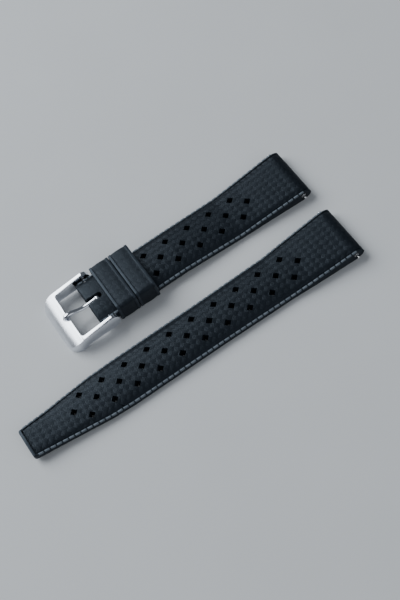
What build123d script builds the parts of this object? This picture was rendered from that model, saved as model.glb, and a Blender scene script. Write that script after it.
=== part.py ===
from build123d import *
import os

# Rubber dive strap in its two halves, lying side by side with their lug ends level.
# X runs along the straps towards the lug ends, Y across them, Z up from the surface
# they lie on. All sizes are in millimetres.

# Sizes shared by both halves
lug_width = 20.0            # strap width between the watch lugs
lug_edge_height = 4.3       # border height above the surface at the lug bar
lug_crown = 0.2             # rise of the middle above the border there
lug_nose = 2.8              # rubber beyond the lug bar axis
shoulder_reach = 15.9       # lug bar axis to the last hole of the middle row
shoulder_narrowing = 1.1    # less wide than between the lugs
shoulder_edge_height = 2.85
shoulder_crown = 0.5
rise_reach = 24.0           # lug bar axis to where the border starts to rise
body_edge_height = 2.1      # border height along the middle of a half
body_crown = 1.1            # rise of the middle above the border there
halves_spacing = 29.8       # centre line to centre line
lying_gap = 0.05            # rubber to a metal piece that lies in it
overrun = 5.0               # how far a cut runs past what it cuts

# Diamond holes, one cell of the moulded weave each
hole_pitch = 8.52
hole_side = 1.56
long_hole_count = 11
short_hole_count = 6

# Long half
long_reach = 118.9          # lug bar axis to the tip
tip_narrowing = 8.8
tip_edge_height = 2.35
tip_crown = 0.05
tip_lift = 1.1              # the tip curls up off the surface
tip_corner = 0.8
taper_length = 35.5         # tip to full width
tail_narrowing = 2.6
tail_level_length = 33.0    # stretch of full width behind the taper
waist_narrowing = 1.9

# Where the taper bends, each as shares of the taper's length, the tail's width,
# the tip's lift and the body's crown
taper_shares = ((0.29, 0.75, 0.61, 0.32), (0.76, 0.962, 0.16, 0.73))

# Short half
short_reach = 78.3          # lug bar axis to the buckle end
end_narrowing = 2.4
end_edge_height = 3.4
end_lift = 1.6              # the buckle end curls up a little further
end_crown = 1.0
end_round = 0.8
end_length = 6.5            # thick end around the buckle bar
end_slope_length = 14.0     # thick end down to the body's height
short_lift = 1.0            # the keepers' lower walls hold the strap off the surface
level_reach = 45.1          # lug bar axis to where the strap leaves that level
flare_narrowing = 1.5

# Keepers
keeper_width = 7.2
keeper_wall = 0.95
keeper_floor = 0.8
keeper_height = 7.8
keeper_side_gap = 0.25
keeper_inner_corner = 0.35
keeper_rim = 0.9
keeper_rim_depth = 0.22
keeper_gap = 0.25
keeper_ear_gap = 0.65

# Buckle
buckle_bar_reach = 74.65    # lug bar axis to buckle bar axis
buckle_bar_height = 3.8
arm_width = 1.4
arm_gap = 0.8               # side of the strap to an arm
ear_radius = 2.45
opening_reach = 11.15       # buckle bar axis to the front bar's inner edge
front_bar_width = 5.4
front_bar_height = 5.1
front_brow = 0.95           # fall of the front bar's face half way down
front_toe_height = 1.5
front_toe = 0.5
frame_corner = 4.4
frame_inner_corner = 1.1
arm_foot = 1.1              # opening's edge to where the underside steps up, each way
arm_underside = 1.1
notch_radius = 1.2
notch_depth = 0.6
notch_reach = 0.3           # front bar's inner edge to the notch's centre
slot_width = 2.3
slot_reach = 2.0            # slot beyond the buckle bar axis

# Tongue
tongue_width = 1.7
tongue_loop_width = 2.0
tongue_loop_wall = 0.5
tongue_thickness = 1.0
tongue_reach = 12.6         # buckle bar axis to the tongue's nose
tongue_dip_reach = 5.4      # buckle bar axis to the tongue's dip
tongue_dip_height = 1.15    # top of the dip above the buckle bar axis
tongue_tip_height = 2.9     # top of the tip above the buckle bar axis
tongue_nose = 1.0
tongue_rest_gap = 0.1
tongue_round = 0.25

# Spring bars
bar_radius = 0.9
bar_bore_radius = 0.77
bar_lip = 0.35
bar_running_gap = 0.05
pin_radius = 0.4
neck_radius = 0.6           # thicker part of a pin, which fills the tube's mouth
pin_round = 0.12
shoulder_length = 1.6       # the guided end of a pin inside its tube
lug_bar_height = 2.3
lug_bar_inset = 0.1         # tube end inside the side of the strap
lug_neck_reach = 0.05       # neck beyond the side of the strap
lug_pin_reach = 1.25        # lug pin beyond the side of the strap
release_travel = 1.3
release_shoulder_length = 3.2
lever_reach = 2.3           # tube end to the lever's axis
lever_stem_radius = 0.28
lever_stem_gap = 0.02
lever_knob_radius = 0.55
lever_knob_length = 0.85
lever_knob_gap = 0.15       # tube to knob
pocket_length = 4.3
pocket_width = 3.4
pocket_corner = 0.8
pocket_margin = 1.0         # side of the strap to the pocket
buckle_neck_gap = 0.1       # neck to the inner face of an arm
buckle_bar_gap = 0.25       # tube end to the inner face of an arm
buckle_pin_reach = 0.75     # buckle pin beyond the inner face of an arm
wire_radius = 0.09
coil_radius = 0.55
coil_turns = 20

# Places that follow from the sizes
bar_x = (long_reach - lug_nose) / 2
nose_x = bar_x + lug_nose
shoulder_width = lug_width - shoulder_narrowing
tip_width = lug_width - tip_narrowing
tail_width = lug_width - tail_narrowing
waist_width = lug_width - waist_narrowing
end_width = lug_width - end_narrowing
flare_width = lug_width - flare_narrowing
short_y = halves_spacing / 2
long_y = -short_y
hole_row_offset = hole_pitch / 2
lug_top = lug_edge_height + lug_crown
tip_x = bar_x - long_reach
short_end_x = bar_x - short_reach
buckle_x = bar_x - buckle_bar_reach
opening_x = buckle_x - opening_reach
front_x = opening_x - front_bar_width
keeper_inner_x = buckle_x + ear_radius + keeper_ear_gap
keeper_outer_x = keeper_inner_x + keeper_width + keeper_gap
arm_inner_half = end_width / 2 + arm_gap
buckle_width = (arm_inner_half + arm_width) * 2
seat_radius = bar_radius + bar_running_gap
lug_tube_half = lug_width / 2 - lug_bar_inset
buckle_tube_half = arm_inner_half - buckle_bar_gap


def strap_section(x, y, width, edge_height, crown, lift):
    # flat underside, upright sides and a crowned top, seen along the strap
    half = width / 2
    with BuildSketch(Plane(origin=(x, y, lift), x_dir=(0, 1, 0), z_dir=(1, 0, 0))) as section:
        with BuildLine():
            Polyline((-half, edge_height), (-half, 0), (half, 0), (half, edge_height))
            ThreePointArc((half, edge_height), (0, edge_height + crown), (-half, edge_height))
        make_face()
    return section.sketch


def lug_sections(y):
    # the sections that both halves share, from the last hole to the lug end
    return [
        strap_section(bar_x - shoulder_reach, y, shoulder_width,
                      shoulder_edge_height, shoulder_crown, 0),
        strap_section(bar_x, y, lug_width, lug_edge_height, lug_crown, 0),
        strap_section(nose_x, y, lug_width, lug_edge_height, lug_crown, 0),
    ]


def nose_waste(y):
    # what lies outside the strap's rounded lug end, seen from the side
    nose_radius = lug_top / 2
    start_x = nose_x - nose_radius
    with BuildSketch(Plane.XZ.offset(-y)) as waste:
        with BuildLine():
            ThreePointArc((start_x, 0), (nose_x, nose_radius), (start_x, lug_top))
            Polyline(
                (start_x, lug_top), (start_x, lug_top + overrun),
                (nose_x + overrun, lug_top + overrun), (nose_x + overrun, -overrun),
                (start_x, -overrun), (start_x, 0),
            )
        make_face()
    return waste.sketch


def hole_centres(y, count):
    # the middle row, and one hole fewer in each outer row
    last_x = bar_x - shoulder_reach
    middle = [(last_x - index * hole_pitch, y) for index in range(count)]
    outer = [
        (last_x - index * hole_pitch - hole_row_offset, y + side * hole_row_offset)
        for index in range(count - 1)
        for side in (-1, 1)
    ]
    return middle + outer


def turned_outline(x, y, height, points):
    # half outline of a turned piece: radius, and place along the bar from its middle
    with BuildSketch(Plane(origin=(x, y, height))) as outline:
        Polygon(*points, align=None)
    return outline.sketch


def tube_points(half_length):
    mouth_radius = neck_radius + bar_running_gap
    bore_half = half_length - bar_lip
    return [
        (mouth_radius, -half_length), (bar_radius, -half_length),
        (bar_radius, half_length), (mouth_radius, half_length),
        (mouth_radius, bore_half), (bar_bore_radius, bore_half),
        (bar_bore_radius, -bore_half), (mouth_radius, -bore_half),
    ]


def pin_points(side, half_length, neck_reach, reach, guide_length):
    # a stepped pin: guided end inside the tube, a neck through its mouth, and a thin end
    guide_radius = bar_bore_radius - bar_running_gap
    step = half_length - bar_lip - lying_gap
    return [
        (0, side * (step - guide_length)), (guide_radius, side * (step - guide_length)),
        (guide_radius, side * step), (neck_radius, side * step),
        (neck_radius, side * neck_reach), (pin_radius, side * neck_reach),
        (pin_radius, side * (reach - pin_round)), (pin_radius - pin_round, side * reach),
        (0, side * reach),
    ]


def spring_path(x, y, height, start, end):
    # helix along the bar, clear of the pins at its two ends
    length = end - start - wire_radius * 2 - lying_gap * 2
    with BuildLine() as path:
        Helix(
            pitch=length / coil_turns, height=length, radius=coil_radius,
            center=(x, y + start + wire_radius + lying_gap, height), direction=(0, 1, 0),
        )
    return path.line


def wire_section(path):
    with BuildSketch(Plane(origin=path @ 0, z_dir=path % 0)) as section:
        Circle(wire_radius)
    return section.sketch


def bar_seat(x, y, height):
    with BuildSketch(Plane.XZ.offset(-y)) as seat:
        with Locations((x, height)):
            Circle(seat_radius)
    return seat.sketch


def release_pocket(y):
    # finger pocket in the underside, where the release lever is reached
    with BuildSketch(Plane.XY) as pocket:
        with Locations((bar_x, y - lug_width / 2 + pocket_margin + pocket_length / 2)):
            RectangleRounded(pocket_width, pocket_length, pocket_corner)
    return pocket.sketch


def hole_pattern(y, count):
    with BuildSketch(Plane.XY) as pattern:
        with Locations(*hole_centres(y, count)):
            Rectangle(hole_side, hole_side, rotation=45)
    return pattern.sketch


# Rubber of the long half
with BuildPart() as long_strap:
    sections = [strap_section(tip_x, long_y, tip_width, tip_edge_height, tip_crown, tip_lift)]
    for along_share, width_share, lift_share, crown_share in taper_shares:
        sections.append(strap_section(
            tip_x + taper_length * along_share, long_y, tail_width * width_share,
            body_edge_height, body_crown * crown_share, tip_lift * lift_share))
    for x, width in (
        (tip_x + taper_length, tail_width),
        (tip_x + taper_length + tail_level_length, tail_width),
        (bar_x - rise_reach, waist_width),
    ):
        sections.append(strap_section(x, long_y, width, body_edge_height, body_crown, 0))
    loft(sections + lug_sections(long_y), ruled=True)
    extrude(nose_waste(long_y), amount=lug_width, both=True, mode=Mode.SUBTRACT)
    fillet(long_strap.edges().filter_by(Axis.Z).sort_by(Axis.X)[:2], tip_corner)
    extrude(hole_pattern(long_y, long_hole_count), amount=lug_top, mode=Mode.SUBTRACT)
    extrude(bar_seat(bar_x, long_y, lug_bar_height), amount=lug_width, both=True,
            mode=Mode.SUBTRACT)
    extrude(release_pocket(long_y), amount=lug_bar_height, mode=Mode.SUBTRACT)

# Rubber of the short half, with the tongue's slot in its thick end
with BuildPart() as short_strap:
    sections = []
    for x, width, edge_height, crown, lift in (
        (short_end_x, end_width, end_edge_height, end_crown, end_lift),
        (short_end_x + end_length, end_width, end_edge_height, end_crown, end_lift),
        (short_end_x + end_length + end_slope_length, end_width, body_edge_height,
         body_crown, short_lift),
        (bar_x - level_reach, end_width, body_edge_height, body_crown, short_lift),
        (bar_x - rise_reach, flare_width, body_edge_height, body_crown, 0),
    ):
        sections.append(strap_section(x, short_y, width, edge_height, crown, lift))
    loft(sections + lug_sections(short_y), ruled=True)
    extrude(nose_waste(short_y), amount=lug_width, both=True, mode=Mode.SUBTRACT)
    end_face = short_strap.faces().sort_by(Axis.X)[0]
    fillet(end_face.edges().sort_by(Axis.Z)[-1], end_round)
    fillet(short_strap.faces().sort_by(Axis.X)[0].edges().sort_by(Axis.Z)[0], end_round)
    extrude(hole_pattern(short_y, short_hole_count), amount=lug_top, mode=Mode.SUBTRACT)
    for x, height in ((bar_x, lug_bar_height), (buckle_x, buckle_bar_height)):
        extrude(bar_seat(x, short_y, height), amount=lug_width, both=True, mode=Mode.SUBTRACT)
    extrude(release_pocket(short_y), amount=lug_bar_height, mode=Mode.SUBTRACT)
    slot_length = (buckle_x + slot_reach - short_end_x + overrun) * 2
    with BuildSketch(Plane.XY):
        with Locations((short_end_x - overrun, short_y)):
            SlotOverall(slot_length, slot_width)
    extrude(amount=lug_top + buckle_bar_height, mode=Mode.SUBTRACT)

# Keepers, loops with raised rims around both straps
keepers = {}
for name, x in (("keeper_inner", keeper_inner_x), ("keeper_outer", keeper_outer_x)):
    inner_width = end_width + keeper_side_gap * 2
    outer_width = inner_width + keeper_wall * 2
    inner_height = keeper_height - keeper_wall - keeper_floor
    outer_corner = keeper_inner_corner + keeper_wall
    with BuildPart() as keeper:
        with BuildSketch(Plane.YZ.offset(x)):
            with Locations((short_y, keeper_height / 2)):
                RectangleRounded(outer_width, keeper_height, outer_corner)
            with Locations((short_y, keeper_floor + inner_height / 2)):
                RectangleRounded(inner_width, inner_height, keeper_inner_corner,
                                 mode=Mode.SUBTRACT)
        extrude(amount=keeper_width)
        with BuildSketch(Plane.YZ.offset(x + keeper_rim)):
            with Locations((short_y, keeper_height / 2)):
                Rectangle(outer_width + overrun, keeper_height + overrun)
                RectangleRounded(
                    outer_width - keeper_rim_depth * 2, keeper_height - keeper_rim_depth * 2,
                    outer_corner - keeper_rim_depth, mode=Mode.SUBTRACT,
                )
        extrude(amount=keeper_width - keeper_rim * 2, mode=Mode.SUBTRACT)
    keeper.part.label = name
    keepers[name] = keeper.part

# Buckle frame: a front bar with a sloped face and two arms that end in round ears
with BuildPart() as buckle_frame:
    ear_top = buckle_bar_height + ear_radius
    ear_foot = buckle_bar_height - ear_radius
    brow_x = opening_x - front_bar_width / 2
    with BuildSketch(Plane.XZ.offset(-short_y)):
        with BuildLine():
            Polyline(
                (front_x, front_toe_height), (front_x + front_toe, 0), (opening_x - arm_foot, 0),
                (opening_x + arm_foot, arm_underside), (buckle_x, ear_foot),
            )
            ThreePointArc(
                (buckle_x, ear_foot), (buckle_x + ear_radius, buckle_bar_height),
                (buckle_x, ear_top),
            )
            Line((buckle_x, ear_top), (opening_x, front_bar_height))
            ThreePointArc(
                (opening_x, front_bar_height), (brow_x, front_bar_height - front_brow),
                (front_x, front_toe_height),
            )
        make_face()
    extrude(amount=buckle_width, both=True)
    frame_length = buckle_x + ear_radius - front_x
    with BuildSketch(Plane.XY.offset(-overrun)):
        with Locations((front_x, short_y)):
            Rectangle(frame_length + overrun, buckle_width, align=(Align.MIN, Align.CENTER))
        fillet(vertices().sort_by(Axis.X)[:2], frame_corner)
    extrude(amount=ear_top + overrun * 2, mode=Mode.INTERSECT)
    with BuildSketch(Plane.XY.offset(-overrun)):
        with Locations((opening_x, short_y)):
            Rectangle(frame_length + overrun, arm_inner_half * 2, align=(Align.MIN, Align.CENTER))
        fillet(vertices().sort_by(Axis.X)[:2], frame_inner_corner)
    extrude(amount=ear_top + overrun * 2, mode=Mode.SUBTRACT)
    with BuildSketch(Plane.XZ.offset(-short_y)):
        with Locations((buckle_x, buckle_bar_height)):
            Circle(pin_radius + bar_running_gap)
    extrude(amount=arm_inner_half + buckle_pin_reach + bar_running_gap * 2, both=True,
            mode=Mode.SUBTRACT)
    with BuildSketch(Plane.XY.offset(front_bar_height - notch_depth)):
        with Locations((opening_x - notch_reach, short_y)):
            SlotOverall(notch_radius * 2 + notch_reach * 2, notch_radius * 2)
    extrude(amount=overrun, mode=Mode.SUBTRACT)

# Tongue: a loop round the buckle bar, a dipped shank and a raised tip in the notch
with BuildPart() as buckle_tongue:
    loop_radius = seat_radius + tongue_loop_wall
    dip_x = buckle_x - tongue_dip_reach
    dip_top = buckle_bar_height + tongue_dip_height
    tip_top = buckle_bar_height + tongue_tip_height
    tongue_end_x = buckle_x - tongue_reach
    rest_height = front_bar_height - notch_depth + tongue_rest_gap
    tip_start_x = tongue_end_x + tongue_nose
    tip_middle = (tip_top + rest_height) / 2
    with BuildSketch(Plane.XZ.offset(-short_y)):
        with BuildLine():
            Spline(
                (buckle_x, buckle_bar_height + loop_radius), (dip_x, dip_top),
                (tip_start_x, tip_top), tangents=((-1, 0), (-1, 0)),
            )
            ThreePointArc(
                (tip_start_x, tip_top), (tongue_end_x, tip_middle), (tip_start_x, rest_height)
            )
            Spline(
                (tip_start_x, rest_height), (dip_x, dip_top - tongue_thickness),
                (buckle_x, buckle_bar_height - seat_radius), tangents=((1, 0), (1, 0)),
            )
            Line(
                (buckle_x, buckle_bar_height - seat_radius),
                (buckle_x, buckle_bar_height + loop_radius),
            )
        make_face()
    extrude(amount=tongue_width / 2, both=True)
    long_edges = buckle_tongue.edges().filter_by(GeomType.BSPLINE).group_by(Axis.Y)
    fillet(long_edges[0] + long_edges[-1], tongue_round)
    with BuildSketch(Plane.XZ.offset(-short_y)):
        with Locations((buckle_x, buckle_bar_height)):
            Circle(loop_radius)
    extrude(amount=tongue_loop_width / 2, both=True)
    extrude(bar_seat(buckle_x, short_y, buckle_bar_height), amount=tongue_loop_width, both=True,
            mode=Mode.SUBTRACT)

# Spring bar that carries the buckle: a tube, a spring and a pin at each end
with BuildPart() as buckle_bar_tube:
    add(turned_outline(buckle_x, short_y, buckle_bar_height, tube_points(buckle_tube_half)))
    revolve(axis=Axis((buckle_x, short_y, buckle_bar_height), (0, 1, 0)))

buckle_pins = {}
for name, side in (("buckle_bar_tip_near", -1), ("buckle_bar_tip_far", 1)):
    points = pin_points(side, buckle_tube_half, arm_inner_half - buckle_neck_gap,
                        arm_inner_half + buckle_pin_reach, shoulder_length)
    with BuildPart() as pin:
        add(turned_outline(buckle_x, short_y, buckle_bar_height, points))
        revolve(axis=Axis((buckle_x, short_y, buckle_bar_height), (0, 1, 0)))
    pin.part.label = name
    buckle_pins[name] = pin.part

spring_half = buckle_tube_half - bar_lip - lying_gap - shoulder_length
with BuildPart() as buckle_bar_spring:
    coil = spring_path(buckle_x, short_y, buckle_bar_height, -spring_half, spring_half)
    add(coil)
    add(wire_section(coil))
    sweep(is_frenet=True)

# Quick-release bar in each lug end: the near pin slides with its lever
lug_pieces = {}
for half_name, y in (("short", short_y), ("long", long_y)):
    bar_axis = Axis((bar_x, y, lug_bar_height), (0, 1, 0))
    lever_y = y - lug_tube_half + lever_reach
    stem_clear = lever_stem_radius + bar_running_gap
    guide_step = lug_tube_half - bar_lip - lying_gap
    neck_end = lug_width / 2 + lug_neck_reach
    pin_end = lug_width / 2 + lug_pin_reach

    with BuildPart() as tube:
        add(turned_outline(bar_x, y, lug_bar_height, tube_points(lug_tube_half)))
        revolve(axis=bar_axis)
        with BuildSketch(Plane.XY.offset(lug_bar_height - bar_radius * 2)):
            with Locations((bar_x, lever_y + release_travel / 2)):
                Rectangle(stem_clear * 2, release_travel + stem_clear * 2)
        extrude(amount=bar_radius * 2, mode=Mode.SUBTRACT)

    with BuildPart() as fixed_tip:
        add(turned_outline(bar_x, y, lug_bar_height,
                           pin_points(1, lug_tube_half, neck_end, pin_end, shoulder_length)))
        revolve(axis=bar_axis)

    with BuildPart() as sliding_tip:
        add(turned_outline(bar_x, y, lug_bar_height,
                           pin_points(-1, lug_tube_half, neck_end, pin_end,
                                  release_shoulder_length)))
        revolve(axis=bar_axis)
        with Locations((bar_x, lever_y, lug_bar_height)):
            Cylinder(lever_stem_radius + lever_stem_gap, bar_radius,
                     align=(Align.CENTER, Align.CENTER, Align.MAX), mode=Mode.SUBTRACT)

    with BuildPart() as lever:
        knob_top = lug_bar_height - bar_radius - lever_knob_gap
        stem_length = lug_bar_height - lever_stem_gap - knob_top
        with Locations((bar_x, lever_y, knob_top)):
            Cylinder(lever_stem_radius, stem_length,
                     align=(Align.CENTER, Align.CENTER, Align.MIN))
            Cylinder(lever_knob_radius, lever_knob_length,
                     align=(Align.CENTER, Align.CENTER, Align.MAX))
        chamfer(lever.edges().group_by(Axis.Z)[0], pin_round)

    with BuildPart() as spring:
        coil = spring_path(bar_x, y, lug_bar_height, release_shoulder_length - guide_step,
                           guide_step - shoulder_length)
        add(coil)
        add(wire_section(coil))
        sweep(is_frenet=True)

    for piece_name, piece in (("tube", tube), ("fixed_tip", fixed_tip), ("lever", lever),
                              ("sliding_tip", sliding_tip), ("spring", spring)):
        piece.part.label = half_name + "_bar_" + piece_name
        lug_pieces[piece.part.label] = piece.part

long_strap.part.label = "long_strap"
short_strap.part.label = "short_strap"
buckle_frame.part.label = "buckle_frame"
buckle_tongue.part.label = "buckle_tongue"
buckle_bar_tube.part.label = "buckle_bar_tube"
buckle_bar_spring.part.label = "buckle_bar_spring"

os.makedirs("parts", exist_ok=True)
pieces = [long_strap.part, short_strap.part, buckle_frame.part, buckle_tongue.part,
          buckle_bar_tube.part, buckle_bar_spring.part]
pieces += list(keepers.values()) + list(buckle_pins.values()) + list(lug_pieces.values())
for piece in pieces:
    export_step(piece, "parts/" + piece.label + ".step")
    print(piece.label, round(piece.volume, 3), len(piece.solids()), piece.is_valid)
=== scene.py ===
import math
import bpy
from mathutils import Matrix, Vector


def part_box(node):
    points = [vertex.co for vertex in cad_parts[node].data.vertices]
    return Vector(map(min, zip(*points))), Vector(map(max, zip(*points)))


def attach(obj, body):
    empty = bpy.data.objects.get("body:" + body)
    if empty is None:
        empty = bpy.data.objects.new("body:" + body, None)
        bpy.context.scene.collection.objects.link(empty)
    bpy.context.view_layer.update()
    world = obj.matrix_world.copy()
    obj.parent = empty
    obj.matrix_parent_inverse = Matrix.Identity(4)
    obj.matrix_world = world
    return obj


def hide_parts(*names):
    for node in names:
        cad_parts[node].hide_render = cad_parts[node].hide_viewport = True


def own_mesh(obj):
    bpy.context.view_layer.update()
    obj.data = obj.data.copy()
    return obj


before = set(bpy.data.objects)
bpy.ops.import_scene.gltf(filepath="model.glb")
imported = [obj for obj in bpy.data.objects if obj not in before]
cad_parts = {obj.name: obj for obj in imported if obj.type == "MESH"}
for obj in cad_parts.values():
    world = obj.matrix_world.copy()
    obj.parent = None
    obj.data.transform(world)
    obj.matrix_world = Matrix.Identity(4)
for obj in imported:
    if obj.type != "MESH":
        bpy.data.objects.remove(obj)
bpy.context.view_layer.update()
millimetre = 0.001
nearly = 0.01  # places closer than this are the same, in millimetres

# rounded lug end, in millimetres: its length, its middle height, how far it closes, the room
# before it, and the degrees at which its sections stand
nose = {
    "length": 3.6, "middle": 2.25, "closing": 0.9995, "clear": 0.05,
    "degrees": (0, 11, 22, 33, 44, 54, 64, 73, 81, 87),
}

# the two halves, in millimetres: where a section stands along the strap, its half width,
# the border's height, the crown above it, the lift off the surface and the groove's depth;
# endRounding gives how much of its height a section keeps at a distance from the end
straps = {
    "long": {
        "body": "long_half", "node": "long_strap", "centreY": -14.9, "holes": 11,
        "weaveFrom": -59.45, "dashFrom": -59.2, "weavePhase": (2.17, 1.69),
        "endRounding": {0: 0.82},
        "sections": [
            (-60.85, 4.75, 2.2, 0.05, 1.25, 0.1), (-60.72, 5.2, 2.3, 0.05, 1.12, 0.1),
            (-60.45, 5.48, 2.35, 0.06, 1.1, 0.1), (-60.05, 5.64, 2.35, 0.08, 1.07, 0.1),
            (-50.555, 6.525, 2.1, 0.352, 0.671, 0.1), (-33.87, 8.369, 2.1, 0.803, 0.176, 0.06),
            (-25.35, 8.7, 2.1, 1.1, 0, 0.05), (7.65, 8.7, 2.1, 1.1, 0, 0.05),
            (34.05, 9.05, 2.1, 1.1, 0, 0.05), (42.15, 9.45, 2.85, 0.5, 0, 0.1),
            (58.05, 10, 4.3, 0.2, 0, 0.14), (60.85, 10, 4.3, 0.2, 0, 0.14),
        ],
    },
    "short": {
        "body": "short_half", "node": "short_strap", "centreY": 14.9, "holes": 6,
        "weaveFrom": -13.1, "dashFrom": -19.2, "weavePhase": (2.04, 1.42),
        "endRounding": {0: 0.66, 0.15: 0.82, 0.4: 0.94},
        "sections": [
            (-20.25, 8.72, 3.4, 1.0, 1.6, 0.05), (-19.45, 8.8, 3.4, 1.0, 1.6, 0.05),
            (-13.75, 8.8, 3.4, 1.0, 1.6, 0.05), (0.25, 8.8, 2.1, 1.1, 1.0, 0.05),
            (12.95, 8.8, 2.1, 1.1, 1.0, 0.05), (34.05, 9.25, 2.1, 1.1, 0, 0.05),
            (42.15, 9.45, 2.85, 0.5, 0, 0.1), (58.05, 10, 4.3, 0.2, 0, 0.14),
            (60.85, 10, 4.3, 0.2, 0, 0.14),
        ],
    },
}


def log(text):
    print("stage:", text)


def deselectAll():
    if bpy.context.object and bpy.context.object.mode != "OBJECT":
        bpy.ops.object.mode_set(mode="OBJECT")
    bpy.ops.object.select_all(action="DESELECT")


def activate(piece):
    deselectAll()
    piece.select_set(True)
    bpy.context.view_layer.objects.active = piece


def bakePlace(piece):
    activate(piece)
    bpy.ops.object.transform_apply(location=True, rotation=True, scale=True)


def nameActive(name):
    piece = bpy.context.object
    piece.name = name
    piece.data.name = name
    return piece


def addBlock(name, size, centre):
    # a block given in millimetres, with its place in its mesh
    deselectAll()
    bpy.ops.mesh.primitive_cube_add(size=millimetre, location=Vector(centre) * millimetre)
    block = nameActive(name)
    block.scale = size
    bakePlace(block)
    return block


def addDrum(name, radius, width, centre, vertices):
    # a cylinder that lies across the straps
    deselectAll()
    bpy.ops.mesh.primitive_cylinder_add(
        vertices=vertices, radius=radius * millimetre, depth=width * millimetre,
        location=Vector(centre) * millimetre, rotation=(math.radians(90), 0, 0))
    drum = nameActive(name)
    bakePlace(drum)
    return drum


def selectVertices(piece, test):
    # selects by place, in millimetres, and leaves the piece in edit mode
    activate(piece)
    bpy.ops.object.mode_set(mode="EDIT")
    bpy.ops.mesh.select_mode(type="VERT")
    bpy.ops.mesh.select_all(action="DESELECT")
    bpy.ops.object.mode_set(mode="OBJECT")
    for vertex in piece.data.vertices:
        vertex.select = test(vertex.co / millimetre)
    bpy.ops.object.mode_set(mode="EDIT")


def selectEdges(piece, test):
    activate(piece)
    bpy.ops.object.mode_set(mode="EDIT")
    bpy.ops.mesh.select_mode(type="EDGE")
    bpy.ops.mesh.select_all(action="DESELECT")
    bpy.ops.object.mode_set(mode="OBJECT")
    points = piece.data.vertices
    for edge in piece.data.edges:
        first, second = (points[index].co / millimetre for index in edge.vertices)
        edge.select = test(first, second)
    bpy.ops.object.mode_set(mode="EDIT")


def isUpright(one, two):
    return abs(one.z - two.z) > nearly


def leaveEdit():
    bpy.ops.object.mode_set(mode="OBJECT")


def cutAcross(x):
    # a cut at x through the whole of the piece that is in edit mode
    bpy.ops.mesh.select_all(action="SELECT")
    bpy.ops.mesh.bisect(plane_co=(x * millimetre, 0, 0), plane_no=(1, 0, 0))


def addModifier(piece, kind, **settings):
    activate(piece)
    modifier = piece.modifiers.new(kind.title(), kind)
    for key, value in settings.items():
        setattr(modifier, key, value)
    bpy.ops.object.modifier_apply(modifier=modifier.name)


def combine(piece, other, operation):
    addModifier(piece, "BOOLEAN", object=other, operation=operation, solver="EXACT")
    bpy.data.objects.remove(other, do_unlink=True)


def cutAway(piece, cutter):
    combine(piece, cutter, "DIFFERENCE")


def roundEdges(piece, look):
    # rounds the edges that turn by more than sharpFrom degrees
    addModifier(piece, "BEVEL", width=look["edgeRound"] * millimetre,
                segments=look["edgeSteps"], limit_method="ANGLE",
                angle_limit=math.radians(look["sharpFrom"]))


def joinAll(name, pieces):
    deselectAll()
    for piece in pieces:
        piece.select_set(True)
    bpy.context.view_layer.objects.active = pieces[0]
    if len(pieces) > 1:
        bpy.ops.object.join()
    return nameActive(name)


def copyPiece(template, matrix):
    piece = template.copy()
    piece.data = template.data.copy()
    piece.matrix_world = matrix
    bpy.context.scene.collection.objects.link(piece)
    return piece


def smooth(piece, degrees):
    activate(piece)
    bpy.ops.object.shade_smooth_by_angle(angle=math.radians(degrees))


def giveMaterials(piece, *materials):
    piece.data.materials.clear()
    for material in materials:
        piece.data.materials.append(material)


def finishPiece(piece, body, replaced=None):
    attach(piece, body)
    if replaced:
        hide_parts(replaced)
    log(piece.name + " " + str(len(piece.data.polygons)) + " faces")


def sectionAt(strap, x):
    # section values at a place between two listed ones
    rows = strap["sections"]
    x = min(max(x, rows[0][0]), rows[-1][0])
    for before, after in zip(rows, rows[1:]):
        if x <= after[0]:
            share = (x - before[0]) / (after[0] - before[0])
            return [one + (two - one) * share for one, two in zip(before, after)]


def noseFactor(strap, x):
    # how far the rounded lug end has closed at x, from 1 down to 0
    start = strap["sections"][-1][0] - nose["length"]
    if x <= start:
        return 1
    return math.cos(math.asin(min((x - start) / nose["length"], nose["closing"])))


def squeezed(strap, x, z):
    # only the lug end is squeezed, about its middle height
    if noseFactor(strap, x) == 1:
        return z
    return nose["middle"] + (z - nose["middle"]) * noseFactor(strap, x)


# materials
def newMaterial(name, colour, roughness, metallic=0.0):
    material = bpy.data.materials.new(name)
    material.use_nodes = True
    shader = material.node_tree.nodes["Principled BSDF"]
    shader.inputs["Base Color"].default_value = (*colour, 1)
    shader.inputs["Roughness"].default_value = roughness
    shader.inputs["Metallic"].default_value = metallic
    return material, shader


def addNode(material, kind, **inputs):
    node = material.node_tree.nodes.new(kind)
    for key, value in inputs.items():
        node.inputs[key].default_value = value
    return node


def noiseAt(material, scale, detail=3.0, stretch=(1, 1, 1)):
    # noise on Object coordinates, which are metres
    tree = material.node_tree
    place = addNode(material, "ShaderNodeTexCoord")
    mapping = addNode(material, "ShaderNodeMapping", Scale=stretch)
    noise = addNode(material, "ShaderNodeTexNoise", Scale=scale, Detail=detail)
    tree.links.new(place.outputs["Object"], mapping.inputs["Vector"])
    tree.links.new(mapping.outputs["Vector"], noise.inputs["Vector"])
    return noise.outputs["Fac"]


tonePlaces = (0.3, 0.72)  # values of the noise at the darkest and the lightest tone


def varyColour(material, shader, factor, dark, light):
    ramp = addNode(material, "ShaderNodeValToRGB")
    for element, place, colour in zip(ramp.color_ramp.elements, tonePlaces, (dark, light)):
        element.position = place
        element.color = (*colour, 1)
    material.node_tree.links.new(factor, ramp.inputs["Fac"])
    material.node_tree.links.new(ramp.outputs["Color"], shader.inputs["Base Color"])


def varyRoughness(material, shader, factor, low, high):
    spread = addNode(material, "ShaderNodeMapRange")
    spread.inputs["To Min"].default_value = low
    spread.inputs["To Max"].default_value = high
    material.node_tree.links.new(factor, spread.inputs["Value"])
    material.node_tree.links.new(spread.outputs["Result"], shader.inputs["Roughness"])


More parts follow.
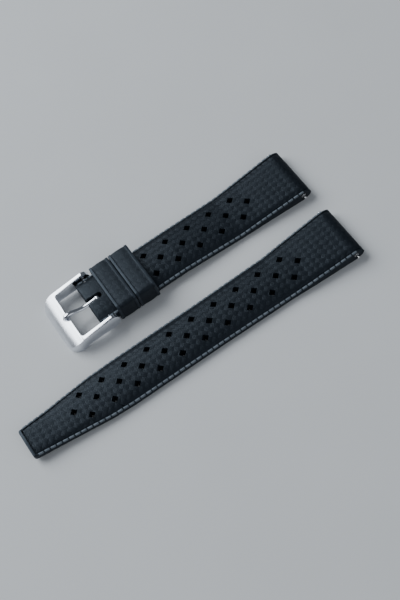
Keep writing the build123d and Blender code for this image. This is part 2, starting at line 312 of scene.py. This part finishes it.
def addBump(material, shader, height, strength, distance):
    bump = addNode(material, "ShaderNodeBump", Strength=strength, Distance=distance)
    links = material.node_tree.links
    if shader.inputs["Normal"].is_linked:
        links.new(shader.inputs["Normal"].links[0].from_socket, bump.inputs["Normal"])
    links.new(height, bump.inputs["Height"])
    links.new(bump.outputs["Normal"], shader.inputs["Normal"])


def addMath(material, operation, first, second):
    # one step of arithmetic on a socket and a number or another socket
    node = material.node_tree.nodes.new("ShaderNodeMath")
    node.operation = operation
    for socket, value in zip(node.inputs, (first, second)):
        if isinstance(value, (int, float)):
            socket.default_value = value
        else:
            material.node_tree.links.new(value, socket)
    return node.outputs["Value"]


def wovenHeight(material, woven):
    # basket weave turned by 45 degrees, which goes on down the sides of a loop
    tree = material.node_tree
    place = addNode(material, "ShaderNodeTexCoord")
    split = addNode(material, "ShaderNodeSeparateXYZ")
    tree.links.new(place.outputs["Object"], split.inputs["Vector"])
    along = split.outputs["X"]
    across = addMath(material, "ADD", split.outputs["Y"], split.outputs["Z"])
    turned = [addMath(material, operation, along, across) for operation in ("ADD", "SUBTRACT")]
    scaled = [addMath(material, "MULTIPLY", value, math.sqrt(0.5) / woven["side"])
              for value in turned]
    cellOf = [addMath(material, "FLOOR", value, 0) for value in scaled]
    odd = addMath(material, "FLOORED_MODULO", addMath(material, "ADD", *cellOf), 2)
    ribsOf = [addMath(material, "PINGPONG", value, 0.5 / woven["ribs"]) for value in scaled]
    edgesOf = [addMath(material, "PINGPONG", value, 0.5) for value in scaled]
    edge = addMath(material, "MINIMUM", *edgesOf)
    rounded = addMath(material, "MINIMUM", edge, woven["edge"])
    difference = addMath(material, "SUBTRACT", ribsOf[1], ribsOf[0])
    rib = addMath(material, "ADD", ribsOf[0], addMath(material, "MULTIPLY", difference, odd))
    return addMath(material, "ADD", addMath(material, "MULTIPLY", rib, 2), rounded)


# pattern of the keepers and the buckle end: "side" and "depth" are in metres, "edge" is the
# rounded border of a cell as a share of its side
fineWeave = {"side": 0.00162, "ribs": 4, "edge": 0.12, "strength": 0.9, "depth": 0.00012}
rubbers = {
    "strap": {"dark": (0.008, 0.0108, 0.0148), "light": (0.014, 0.018, 0.024),
              "roughness": 0.5},
    "rib": {"dark": (0.0048, 0.0068, 0.0098), "light": (0.0084, 0.0112, 0.0155),
            "roughness": 0.42},
    # dash: painted highlight, the strap's dark rubber drawn far lighter for the gloss the stitches
    # catch
    "dash": {"dark": (0.105, 0.124, 0.146), "light": (0.17, 0.196, 0.225),
             "roughness": 0.42},
    "keeper": {"dark": (0.0086, 0.0113, 0.0149), "light": (0.015, 0.0188, 0.0242),
               "roughness": 0.46, "woven": fineWeave},
    # rim: painted highlight, lighter rubber for the light the rounded rims catch; lower roughness
    # is their smoother finish
    "rim": {"dark": (0.0205, 0.0258, 0.0335), "light": (0.0345, 0.0425, 0.053),
            "roughness": 0.38},
}
rubberLook = {
    "specular": 0.31, "specularTint": (0.7, 0.84, 1, 1), "patches": 420,
    "glossPatches": 900, "glossier": 0.07, "duller": 0.08,
    "grain": 6500, "grainStrength": 0.25, "grainDepth": 0.00002,
}


def rubberMaterial(name, dark, light, roughness, woven=None):
    look = rubberLook
    material, shader = newMaterial(name, light, roughness)
    shader.inputs["Specular IOR Level"].default_value = look["specular"]
    shader.inputs["Specular Tint"].default_value = look["specularTint"]
    varyColour(material, shader, noiseAt(material, look["patches"]), dark, light)
    varyRoughness(material, shader, noiseAt(material, look["glossPatches"], detail=2),
                  roughness - look["glossier"], roughness + look["duller"])
    addBump(material, shader, noiseAt(material, look["grain"], detail=2),
            look["grainStrength"], look["grainDepth"])
    if woven:
        addBump(material, shader, wovenHeight(material, woven), woven["strength"],
                woven["depth"])
    return material


strapRubber = rubberMaterial("strapRubber", **rubbers["strap"])
ribbedRubber = rubberMaterial("ribbedRubber", **rubbers["keeper"])
weaveRubber = rubberMaterial("weaveRubber", **rubbers["rib"])
# lighter rubber of the stitches, a painted highlight
dashHighlightRubber = rubberMaterial("dashHighlightRubber", **rubbers["dash"])
keeperRubber = rubberMaterial("keeperRubber", **rubbers["keeper"])
# lighter rubber of the rims, a painted highlight
rimHighlightRubber = rubberMaterial("rimHighlightRubber", **rubbers["rim"])

# steel finishes: "brush" is the scale of the brush lines or marks and "depth" their depth
steels = {
    "satin": {"colour": (0.87, 0.89, 0.94), "roughness": 0.3, "brush": 900,
              "stretch": (6, 0.35, 6), "depth": 0.000006},
    "polished": {"colour": (0.87, 0.89, 0.94), "roughness": 0.11, "brush": 700,
                 "stretch": (1, 1, 1), "depth": 0.000002},
    "bar": {"colour": (0.72, 0.72, 0.73), "roughness": 0.2, "brush": 2500,
            "stretch": (1, 0.2, 1), "depth": 0.000002},
    "wire": {"colour": (0.3, 0.3, 0.31), "roughness": 0.3, "brush": 3000,
             "stretch": (1, 1, 1), "depth": 0.000002},
}
steelLook = {"shade": 0.88, "patches": 300, "glossier": 0.75, "duller": 1.35, "brushStrength": 0.2}


def steelMaterial(name, colour, roughness, brush, stretch, depth):
    material, shader = newMaterial(name, colour, roughness, metallic=1.0)
    darker = tuple(value * steelLook["shade"] for value in colour)
    lines = noiseAt(material, brush, detail=2, stretch=stretch)
    varyColour(material, shader, noiseAt(material, steelLook["patches"], detail=2), darker, colour)
    varyRoughness(material, shader, lines, roughness * steelLook["glossier"],
                  roughness * steelLook["duller"])
    addBump(material, shader, lines, steelLook["brushStrength"], depth)
    return material


satinSteel = steelMaterial("satinSteel", **steels["satin"])
polishedSteel = steelMaterial("polishedSteel", **steels["polished"])
barSteel = steelMaterial("barSteel", **steels["bar"])
wireSteel = steelMaterial("wireSteel", **steels["wire"])

# rubber body of a half: a section that is extruded along the strap, then holed
skin = {
    "borderLedge": 0.3,      # border floor under the dashes, below the border's height
    "ledgeInner": 0.62,      # side of the strap to the groove
    "fieldStart": 0.92,      # side of the strap to the woven field
    "fieldSink": 0.1,        # field's ground below the ribs' tops
    "edgeSink": 0.33,        # extra fall of the field where it meets the groove
    "edgeReach": 1.9,        # width over which it falls
    "fieldSteps": 8,
    "fieldBunching": 1.6,    # draws the field's points towards the crown
    "spacing": 3.2,          # distance between sections
    "sideRound": 0.3,
    "sideRoundShare": 0.3,   # where its middle point lies
    "ledgeRound": ((0, 0.2), (0.05, 0.06), (0.16, 0)),  # inwards and down from its corner
    "grooveSlope": 0.02,
    "grooveToField": 0.04,
    "smoothAngle": 30,
    "topNormal": 0.6,        # faces steeper than this get no woven rubber
}


def crownHeight(strap, x, offset):
    # top of the woven field before the lug end's squeeze
    _, half, edge, crown, _, _ = sectionAt(strap, x)
    start = half - skin["fieldStart"]
    share = max(0, (abs(offset) - start + skin["edgeReach"]) / skin["edgeReach"])
    fall = skin["edgeSink"] * min(share, 1) ** 2
    return edge + crown * (1 - (offset / half) ** 2) - fall - skin["fieldSink"]


def groundHeight(strap, x, offset):
    return squeezed(strap, x, crownHeight(strap, x, offset) + sectionAt(strap, x)[4])


def ringPoints(strap, x, rounding):
    # half of a section from the underside's middle up to the crown, then mirrored
    _, half, edge, crown, lift, groove = sectionAt(strap, x)
    ledge = edge - skin["borderLedge"]
    rim = skin["sideRound"]
    shared = rim * skin["sideRoundShare"]
    start = half - skin["fieldStart"]
    grooveEdge = half - skin["ledgeInner"]
    floor = crownHeight(strap, x, start) - groove
    points = [(0, 0), (half / 2, 0), (half - rim, 0), (half - shared, shared), (half, rim)]
    points += [(half - inwards, ledge - down) for inwards, down in skin["ledgeRound"]]
    points += [(grooveEdge, ledge), (grooveEdge - skin["grooveSlope"], floor),
               (start + skin["grooveToField"], floor)]
    for step in range(skin["fieldSteps"] + 1):
        y = start * (1 - (step / skin["fieldSteps"]) ** skin["fieldBunching"])
        points.append((y, crownHeight(strap, x, y)))
    ring = points + [(-y, z) for y, z in points[-2:0:-1]]
    middle = (edge + crown) / 2
    centre = strap["centreY"]
    return [(x, y + centre, squeezed(strap, x, middle + (z - middle) * rounding + lift))
            for y, z in ring]


def sectionPlaces(strap):
    # every listed place, places between them, and close ones round the lug end
    rows = strap["sections"]
    places = set()
    for before, after in zip(rows, rows[1:]):
        count = max(1, math.ceil((after[0] - before[0]) / skin["spacing"]))
        for step in range(count + 1):
            places.add(round(before[0] + (after[0] - before[0]) * step / count, 4))
    start = rows[-1][0] - nose["length"]
    places = {x for x in places if x < start - nose["clear"]}
    for degrees in nose["degrees"]:
        places.add(round(start + nose["length"] * math.sin(math.radians(degrees)), 4))
    return places


def placeRing(vertices, ring):
    for vertex, point in zip(vertices, ring):
        vertex.co = Vector(point) * millimetre


def sweepRings(name, rings):
    # a closed first ring, extruded to each of the others in turn
    count = len(rings[0])
    deselectAll()
    bpy.ops.mesh.primitive_circle_add(vertices=count, radius=millimetre, fill_type="NGON")
    piece = nameActive(name)
    placeRing(piece.data.vertices, rings[0])
    for before, ring in zip(rings, rings[1:]):
        lastX, nextX = before[0][0], ring[0][0]
        selectVertices(piece, lambda point: abs(point.x - lastX) < nearly)
        bpy.ops.mesh.extrude_region_move(
            TRANSFORM_OT_translate={"value": ((nextX - lastX) * millimetre, 0, 0)})
        leaveEdit()
        placeRing(piece.data.vertices[-count:], ring)
    selectVertices(piece, lambda point: True)
    bpy.ops.mesh.normals_make_consistent(inside=False)
    leaveEdit()
    return piece


def sweepStrap(name, strap):
    firstX = strap["sections"][0][0]
    roundings = {firstX + step: share for step, share in strap["endRounding"].items()}
    places = sorted({*sectionPlaces(strap), *roundings})
    return sweepRings(name, [ringPoints(strap, x, roundings.get(x, 1)) for x in places])


# diamond holes, wider at their mouth than at the underside
holes = {
    "pitch": 8.52, "last": 42.15, "side": 1.92, "lowerSide": 1.56, "mouthHeight": 3.1,
    "cutterLow": -8, "cutterHigh": 12,
}


def holeCentres(strap):
    last, pitch = holes["last"], holes["pitch"]
    middle = [(last - index * pitch, 0) for index in range(strap["holes"])]
    outer = [(last - (index + 0.5) * pitch, side * pitch / 2)
             for index in range(strap["holes"] - 1) for side in (-1, 1)]
    return middle + outer


def makeHoleCutter(strap, lowerSide):
    low, high = holes["cutterLow"], holes["cutterHigh"]
    slope = (holes["side"] - lowerSide) / holes["mouthHeight"]
    lowRadius, highRadius = ((lowerSide + slope * z) / math.sqrt(2) for z in (low, high))
    cutters = []
    for x, offset in holeCentres(strap):
        deselectAll()
        bpy.ops.mesh.primitive_cone_add(
            vertices=4, radius1=lowRadius * millimetre, radius2=highRadius * millimetre,
            depth=(high - low) * millimetre,
            location=Vector((x, strap["centreY"] + offset, (low + high) / 2)) * millimetre)
        cutters.append(bpy.context.object)
    cutter = joinAll("holeCutter", cutters)
    bakePlace(cutter)
    return cutter


# bores for the bars, the lever's pocket and the tongue's slot
seats = {
    "lug": (58.05, 2.3), "buckle": (-16.6, 3.8), "radius": 0.95, "vertices": 40, "length": 30,
    "pocketCentre": (58.05, -6.85, 0.65), "pocketSize": (3.4, 4.3, 3.3), "pocketRound": 0.8,
    "pocketSteps": 5,
    "slotWidth": 2.3, "slotEnd": -14.6, "slotLength": 12, "slotHeight": 20, "slotMiddle": 5,
    "slotRoundShare": 0.98, "slotSteps": 10,
}


def cutSeat(body, strap, place):
    x, z = place
    cutter = addDrum("seatCutter", seats["radius"], seats["length"], (x, strap["centreY"], z),
                     seats["vertices"])
    cutAway(body, cutter)


def cutPocket(body, strap):
    x, offset, z = seats["pocketCentre"]
    cutter = addBlock("pocketCutter", seats["pocketSize"], (x, strap["centreY"] + offset, z))
    selectEdges(cutter, isUpright)
    bpy.ops.mesh.bevel(offset=seats["pocketRound"] * millimetre, segments=seats["pocketSteps"])
    leaveEdit()
    cutAway(body, cutter)


def cutSlot(body, strap):
    # the tongue's slot, open at the buckle end and round at the other
    width, length = seats["slotWidth"], seats["slotLength"]
    centreX = seats["slotEnd"] - length / 2
    cutter = addBlock("slotCutter", (length, width, seats["slotHeight"]),
                      (centreX, strap["centreY"], seats["slotMiddle"]))
    selectEdges(cutter, lambda one, two: isUpright(one, two) and one.x > centreX)
    bpy.ops.mesh.bevel(offset=width / 2 * seats["slotRoundShare"] * millimetre,
                       segments=seats["slotSteps"])
    leaveEdit()
    cutAway(body, cutter)


# dark line between the long half's tail rim and its woven field
tailGroove = {"centre": (-59.64, -14.9, 3.4), "size": (0.4, 10.1, 2)}


def makeBody(half):
    strap = straps[half]
    body = sweepStrap(half + "Rubber", strap)
    cutAway(body, makeHoleCutter(strap, holes["lowerSide"]))
    cutSeat(body, strap, seats["lug"])
    cutPocket(body, strap)
    if half == "short":
        cutSeat(body, strap, seats["buckle"])
        cutSlot(body, strap)
    else:
        cutAway(body, addBlock("grooveCutter", tailGroove["size"], tailGroove["centre"]))
    smooth(body, skin["smoothAngle"])
    giveMaterials(body, strapRubber, ribbedRubber)
    ribbedEnd = strap["weaveFrom"] if half == "short" else -math.inf
    for face in body.data.polygons:
        if face.normal.z > skin["topNormal"] and face.center.x / millimetre < ribbedEnd:
            face.material_index = 1
    finishPiece(body, strap["body"], strap["node"])


# basket weave: square pillows turned by 45 degrees, each with shallow ribs along it
weave = {
    "pitch": 2.295, "ribs": 4, "gap": 0.03, "top": 0.09, "root": 0.1, "groove": 0.034,
    "edgeFall": 0.008, "endLength": 0.1, "toNose": 0.45, "sideGap": 0.02, "rows": 12,
    "stopGap": 1, "smoothAngle": 13,
}
cellSide = weave["pitch"] / math.sqrt(2)


def makeCell(name, degrees):
    side = cellSide - weave["gap"]
    height = weave["top"] + weave["root"]
    cell = addBlock(name, (side, side, height), (0, 0, height / 2 - weave["root"]))
    activate(cell)
    bpy.ops.object.mode_set(mode="EDIT")
    halfRib = side / weave["ribs"] / 2
    for index in range(1 - weave["ribs"], weave["ribs"]):
        bpy.ops.mesh.select_all(action="SELECT")
        bpy.ops.mesh.bisect(plane_co=(0, index * halfRib * millimetre, 0), plane_no=(0, 1, 0))
    inner = side / 2 - weave["endLength"]
    cutAcross(-inner)
    cutAcross(inner)
    leaveEdit()
    grooves = [index * halfRib * 2 for index in range(1 - weave["ribs"] // 2, weave["ribs"] // 2)]
    falls = (
        (weave["groove"], lambda point: any(abs(point.y - y) < nearly for y in grooves)),
        (weave["edgeFall"], lambda point: abs(point.y) > side / 2 - nearly),
        (weave["edgeFall"], lambda point: abs(point.x) > side / 2 - nearly),
    )
    for fall, isThere in falls:
        selectVertices(cell, lambda point: point.z > 0 and isThere(point))
        bpy.ops.transform.translate(value=(0, 0, -fall * millimetre))
        leaveEdit()
    cell.matrix_world = Matrix.Rotation(math.radians(degrees), 4, "Z")
    bakePlace(cell)
    giveMaterials(cell, weaveRubber)
    return cell


def clipGroup(group, point, normal):
    activate(group)
    bpy.ops.object.mode_set(mode="EDIT")
    bpy.ops.mesh.select_all(action="SELECT")
    bpy.ops.mesh.bisect(plane_co=Vector(point) * millimetre, plane_no=Vector(normal).normalized(),
                        clear_outer=True, use_fill=True)
    leaveEdit()


def touchesHole(strap, x, offset):
    # both are squares turned by 45 degrees
    reach = (cellSide + holes["side"]) / math.sqrt(2)
    for holeX, holeOffset in holeCentres(strap):
        dx, dy = x - holeX, offset - holeOffset
        if max(abs(dx + dy), abs(dx - dy)) < reach:
            return True
    return False


def makeWeave(half, cells):
    strap = straps[half]
    step = weave["pitch"] / 2
    phaseX, phaseY = strap["weavePhase"]
    endX = strap["sections"][-1][0] - weave["toNose"]
    inner = [row[0] for row in strap["sections"]
             if strap["weaveFrom"] + weave["stopGap"] < row[0] < endX - weave["stopGap"]]
    stops = [strap["weaveFrom"]] + inner + [endX]
    groups = []
    for fromX, toX in zip(stops, stops[1:]):
        fromHalf, toHalf = (sectionAt(strap, x)[1] - skin["fieldStart"] - weave["sideGap"]
                            for x in (fromX, toX))
        plain, holed = [], []
        low = fromX - (step if fromX == stops[0] else 0)
        high = toX + (step if toX == stops[-1] else 0)
        for column in range(math.ceil((low - phaseX) / step), math.ceil((high - phaseX) / step)):
            for row in range(-weave["rows"], weave["rows"]):
                x, offset = phaseX + column * step, phaseY + row * step
                if (row + column) % 2 or abs(offset) > max(fromHalf, toHalf) + step:
                    continue
                place = Vector((x, strap["centreY"] + offset, 0)) * millimetre
                copied = copyPiece(cells[row % 2], Matrix.Translation(place))
                (holed if touchesHole(strap, x, offset) else plain).append(copied)
        if holed:
            group = joinAll("holedGroup", holed)
            bakePlace(group)
            cutAway(group, makeHoleCutter(strap, holes["side"]))
            plain.append(group)
        group = joinAll("weaveGroup", plain)
        bakePlace(group)
        for side in (-1, 1):
            clipGroup(group, (fromX, strap["centreY"] + side * fromHalf, 0),
                      (fromHalf - toHalf, side * (toX - fromX), 0))
        groups.append(group)
    field = joinAll(half + "Weave", groups)
    clipGroup(field, (stops[0], 0, 0), (-1, 0, 0))
    clipGroup(field, (stops[-1], 0, 0), (1, 0, 0))
    for vertex in field.data.vertices:
        x, offset = vertex.co.x / millimetre, vertex.co.y / millimetre - strap["centreY"]
        vertex.co.z += groundHeight(strap, x, offset) * millimetre
    smooth(field, weave["smoothAngle"])
    finishPiece(field, strap["body"])


# moulded stitches along both borders
dash = {
    "length": 1.66, "width": 0.58, "height": 0.55, "round": 0.13, "steps": 3, "pitch": 2.105,
    "anchor": 42.77, "last": 58.6, "outset": 0.05, "smoothAngle": 50,
}


def makeDashTemplate():
    template = addBlock("dashTemplate", (dash["length"], dash["width"], dash["height"]),
                        (0, 0, -dash["height"] / 2))
    selectEdges(template, lambda one, two: max(one.z, two.z) > -nearly)
    bpy.ops.mesh.bevel(offset=dash["round"] * millimetre, segments=dash["steps"])
    leaveEdit()
    # the stitches get the lighter rubber, a painted highlight
    giveMaterials(template, dashHighlightRubber)
    return template


def borderPoint(strap, x, side):
    _, half, edge, _, lift, _ = sectionAt(strap, x)
    y = strap["centreY"] + side * (half + dash["outset"] - dash["width"] / 2)
    return Vector((x, y, squeezed(strap, x, edge + lift)))


def makeDashes(half, template):
    strap = straps[half]
    reach = dash["length"] / 2
    first = math.ceil((strap["dashFrom"] + reach - dash["anchor"]) / dash["pitch"])
    last = math.floor((dash["last"] - reach - dash["anchor"]) / dash["pitch"])
    copies = []
    for side in (-1, 1):
        for index in range(first, last + 1):
            x = dash["anchor"] + index * dash["pitch"]
            back, ahead = (borderPoint(strap, x + shift, side) for shift in (-reach, reach))
            along = (ahead - back).normalized()
            across = Vector((0, 0, 1)).cross(along).normalized()
            turn = Matrix((along, across, along.cross(across))).transposed().to_4x4()
            place = (back + ahead) / 2 * millimetre
            copies.append(copyPiece(template, Matrix.Translation(place) @ turn))
    row = joinAll(half + "Dashes", copies)
    bakePlace(row)
    smooth(row, dash["smoothAngle"])
    finishPiece(row, strap["body"])


for half in straps:
    makeBody(half)
cells = [makeCell("backslashCell", -45), makeCell("slashCell", 45)]
dashTemplate = makeDashTemplate()
for half in straps:
    makeWeave(half, cells)
    makeDashes(half, dashTemplate)
for template in (*cells, dashTemplate):
    bpy.data.objects.remove(template, do_unlink=True)

# smooth rim across the tip of the long half, in the lighter rim rubber that paints its highlight
tipRim = {
    "centre": (-60.3, -14.9, 3.24), "size": (0.95, 10.9, 0.42), "corner": 0.75, "round": 0.14,
    "cornerSteps": 6, "roundSteps": 3, "smoothAngle": 50,
}


def makeTipRim():
    rim = addBlock("tipRim", tipRim["size"], tipRim["centre"])
    middleX = tipRim["centre"][0]
    selectEdges(rim, lambda one, two: isUpright(one, two) and one.x < middleX)
    bpy.ops.mesh.bevel(offset=tipRim["corner"] * millimetre, segments=tipRim["cornerSteps"])
    top = tipRim["centre"][2] + tipRim["size"][2] / 2 - nearly
    selectEdges(rim, lambda one, two: one.z > top and two.z > top)
    bpy.ops.mesh.bevel(offset=tipRim["round"] * millimetre, segments=tipRim["roundSteps"])
    leaveEdit()
    # the tip rim gets the lighter rubber, a painted highlight
    giveMaterials(rim, rimHighlightRubber)
    smooth(rim, tipRim["smoothAngle"])
    finishPiece(rim, "long_half")


makeTipRim()

# how a CAD node's triangles are merged into faces
merging = {"distance": 0.000001, "flatDegrees": 0.6}


def copyNode(node, name):
    # a merged copy of a CAD node, to be dressed in its place
    piece = bpy.data.objects.new(name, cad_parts[node].data.copy())
    piece.data.name = name
    bpy.context.scene.collection.objects.link(piece)
    activate(piece)
    bpy.ops.object.mode_set(mode="EDIT")
    bpy.ops.mesh.select_all(action="SELECT")
    bpy.ops.mesh.remove_doubles(threshold=merging["distance"])
    bpy.ops.mesh.dissolve_limited(angle_limit=math.radians(merging["flatDegrees"]))
    bpy.ops.mesh.select_all(action="SELECT")
    bpy.ops.mesh.normals_make_consistent(inside=False)
    leaveEdit()
    return piece


# rubber loops, with softened edges and woven fields between their rims; the rims get lighter
# rubber, a painted highlight
keeper = {
    "width": 7.2, "rim": 0.9, "edgeRound": 0.13, "edgeSteps": 3, "sharpFrom": 40,
    "smoothAngle": 40, "outerNormal": 0.2,
    "crown": 0.29, "wall": 1.1, "cuts": 12, "cutGap": 0.2, "endNormal": 0.1,
}


def crownLoop(loop, low, high):
    # arches the loop's outside a little along the strap, and leaves its bore alone
    half = keeper["width"] / 2
    middle = (low[0] + high[0]) / 2 / millimetre
    rimPlace = 1 - keeper["rim"] / half
    fieldHalf = half - keeper["rim"] - keeper["cutGap"]
    activate(loop)
    bpy.ops.object.mode_set(mode="EDIT")
    for step in range(keeper["cuts"] + 1):
        cutAcross(middle + fieldHalf * (step * 2 / keeper["cuts"] - 1))
    leaveEdit()
    wall = keeper["wall"] * millimetre / 2
    for vertex in loop.data.vertices:
        _, y, z = vertex.co
        inBore = low[1] + wall < y < high[1] - wall and low[2] + wall < z < high[2] - wall
        outward = Vector((0, vertex.normal.y, vertex.normal.z))
        if inBore or outward.length < keeper["endNormal"]:
            continue
        place = (vertex.co.x / millimetre - middle) / half
        rise = keeper["crown"] * (rimPlace ** 2 - place ** 2)
        vertex.co += outward.normalized() * rise * millimetre


def makeKeeper(node, name, body):
    loop = copyNode(node, name)
    roundEdges(loop, keeper)
    low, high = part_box(node)
    crownLoop(loop, low, high)
    smooth(loop, keeper["smoothAngle"])
    # rims in the lighter rubber, a painted highlight; fields in the woven keeper rubber
    giveMaterials(loop, rimHighlightRubber, keeperRubber)
    fieldFrom = low[0] + keeper["rim"] * millimetre
    fieldTo = fieldFrom + (keeper["width"] - keeper["rim"] * 2) * millimetre
    for face in loop.data.polygons:
        isOuter = max(abs(face.normal.y), abs(face.normal.z)) > keeper["outerNormal"]
        if fieldFrom < face.center.x < fieldTo and isOuter:
            face.material_index = 1
    finishPiece(loop, body, node)


makeKeeper("keeper_inner", "keeperInner", "keeper_inner_loop")
makeKeeper("keeper_outer", "keeperOuter", "keeper_outer_loop")

# steel frame and tongue of the buckle
buckle = {
    "edgeRound": 0.5, "edgeSteps": 4, "sharpFrom": 28, "smoothAngle": 35,
    "openingX": -27.75, "polishedLip": 0.55, "satinNormal": 0.3,
}


def makeFrame():
    piece = copyNode("buckle_frame", "buckleFrame")
    satinFrom = buckle["openingX"] - buckle["polishedLip"]
    activate(piece)
    bpy.ops.object.mode_set(mode="EDIT")
    cutAcross(satinFrom)
    leaveEdit()
    roundEdges(piece, buckle)
    smooth(piece, buckle["smoothAngle"])
    giveMaterials(piece, polishedSteel, satinSteel)
    for face in piece.data.polygons:
        if face.normal.z > buckle["satinNormal"] and face.center.x / millimetre < satinFrom:
            face.material_index = 1
    finishPiece(piece, "buckle", "buckle_frame")


# the tongue: its loop, then where each section of the shank stands, its top, its underside
# and its half width
tongue = {
    "loopOuter": 1.45, "loopInner": 0.95, "loopWidth": 2.0, "turns": 48,
    "edgeRound": 0.15, "edgeSteps": 3, "sharpFrom": 50, "smoothAngle": 40,
    "points": 16, "squareness": 0.72,
    "sections": [
        (-16.75, 5.22, 4.82, 0.7), (-17.1, 5.25, 4.74, 0.85), (-17.55, 5.26, 4.3, 0.86),
        (-17.8, 5.25, 3.3, 0.86), (-18.6, 5.2, 3.25, 0.86), (-19.8, 5.08, 3.6, 0.84),
        (-21, 4.98, 3.85, 0.8), (-22, 4.96, 3.95, 0.76), (-23, 5.12, 4.1, 0.74),
        (-24, 5.46, 4.35, 0.74), (-25, 5.94, 4.68, 0.78), (-25.8, 6.28, 4.84, 0.83),
        (-26.6, 6.5, 4.8, 0.88), (-27.4, 6.56, 4.7, 0.9), (-28.1, 6.5, 4.62, 0.88),
        (-28.6, 6.34, 4.66, 0.8), (-28.95, 6.1, 4.85, 0.62), (-29.12, 5.85, 5.1, 0.4),
        (-29.18, 5.6, 5.35, 0.18),
    ],
}


def tongueRing(x, top, underside, half):
    # a rounded section, more square than an ellipse
    ring = []
    for index in range(tongue["points"]):
        angle = math.tau * (index + 0.5) / tongue["points"]
        flat, tall = (math.copysign(abs(value) ** tongue["squareness"], value)
                      for value in (math.cos(angle), math.sin(angle)))
        y = straps["short"]["centreY"] + half * flat
        ring.append((x, y, (top + underside) / 2 + (top - underside) / 2 * tall))
    return ring


def makeLoopDrum(name, radius, width):
    x, z = seats["buckle"]
    return addDrum(name, radius, width, (x, straps["short"]["centreY"], z), tongue["turns"])


def makeTongue():
    piece = makeLoopDrum("buckleTongue", tongue["loopOuter"], tongue["loopWidth"])
    shank = sweepRings("tongueShank", [tongueRing(*section) for section in tongue["sections"]])
    combine(piece, shank, "UNION")
    cutAway(piece, makeLoopDrum("tongueBore", tongue["loopInner"], tongue["loopWidth"] * 2))
    roundEdges(piece, tongue)
    smooth(piece, tongue["smoothAngle"])
    giveMaterials(piece, polishedSteel)
    finishPiece(piece, "tongue", "buckle_tongue")


makeFrame()
makeTongue()

# the bars, pins and levers keep their CAD shape
for name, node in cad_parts.items():
    if "_bar_" in name:
        giveMaterials(node, barSteel if "_tip" in name else wireSteel)

# springs keep their CAD shape; a real spring shortens towards its fixed end as a pin is pushed
# in: "end" is that end's place across the straps and "travel" the pin's way, in millimetres
springAngle = 60
springs = {
    "buckleSpring": {"node": "buckle_bar_spring", "body": "short_half", "end": 7.8,
                     "joint": "buckle_far_pin_slide", "travel": 0.8},
    "shortSpring": {"node": "short_bar_spring", "body": "short_half", "end": 22.8,
                    "joint": "short_release_slide", "travel": 1.3},
    "longSpring": {"node": "long_bar_spring", "body": "long_half", "end": -7.0,
                   "joint": "long_release_slide", "travel": 1.3},
}


def makeSpring(name, spring):
    piece = copyNode(spring["node"], name)
    smooth(piece, springAngle)
    giveMaterials(piece, wireSteel)
    finishPiece(piece, spring["body"], spring["node"])
    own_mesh(piece)


for name, spring in springs.items():
    makeSpring(name, spring)

# floor, light and camera
studio = {
    "floorTone": (0.72, 0.725, 0.735), "floorRoughness": 0.75, "floorPatches": 25,
    "floorShade": 0.97, "floorHalf": 1.5, "floorDrop": 0.00004,
    "worldTone": (0.62, 0.68, 0.76), "worldStrength": 0.17,
    "lights": {
        "backLeft": {"place": (-0.46, 0.74, 0.7), "size": (1.0, 0.9), "power": 15.5,
                     "tone": (0.9, 0.96, 1.0)},
        "front": {"place": (0.25, -0.75, 0.7), "size": (0.9, 0.9), "power": 2.6,
                  "tone": (0.9, 0.95, 1.0)},
    },
    "target": (-0.005, 0, 0),
}


def makeFloor():
    deselectAll()
    bpy.ops.mesh.primitive_plane_add(size=studio["floorHalf"] * 2,
                                     location=(0, 0, -studio["floorDrop"]))
    floor = nameActive("floor")
    bakePlace(floor)
    light = studio["floorTone"]
    dark = tuple(value * studio["floorShade"] for value in light)
    material, shader = newMaterial("paleFloor", light, studio["floorRoughness"])
    varyColour(material, shader, noiseAt(material, studio["floorPatches"], detail=2),
               dark, light)
    giveMaterials(floor, material)


def makeLights():
    for name, light in studio["lights"].items():
        data = bpy.data.lights.new(name, "AREA")
        data.shape = "RECTANGLE"
        data.size, data.size_y = light["size"]
        data.energy = light["power"]
        data.color = light["tone"]
        lamp = bpy.data.objects.new(name, data)
        bpy.context.scene.collection.objects.link(lamp)
        lamp.location = light["place"]
        aim = Vector(studio["target"]) - Vector(light["place"])
        lamp.rotation_euler = aim.to_track_quat("-Z", "Y").to_euler()
    world = bpy.data.worlds.new("studioWorld")
    bpy.context.scene.world = world
    world.use_nodes = True
    background = world.node_tree.nodes["Background"]
    background.inputs["Color"].default_value = (*studio["worldTone"], 1)
    background.inputs["Strength"].default_value = studio["worldStrength"]


camera = {
    "place": (-0.038701, -0.241604, 0.377675), "lens": 83.887, "sensor": 36.0, "nearest": 0.01,
    "up": (0.554943, 0.67048, 0.492439), "back": (-0.108997, -0.528247, 0.842066),
}


def makeCamera():
    data = bpy.data.cameras.new("camera")
    data.lens = camera["lens"]
    data.sensor_width = camera["sensor"]
    data.clip_start = camera["nearest"]
    viewer = bpy.data.objects.new("camera", data)
    bpy.context.scene.collection.objects.link(viewer)
    back = Vector(camera["back"]).normalized()
    right = Vector(camera["up"]).cross(back).normalized()
    up = back.cross(right)
    turn = Matrix((right, up, back)).transposed().to_4x4()
    viewer.matrix_world = Matrix.Translation(Vector(camera["place"])) @ turn
    bpy.context.scene.camera = viewer


makeFloor()
makeLights()
makeCamera()
log("floor, lights and camera")
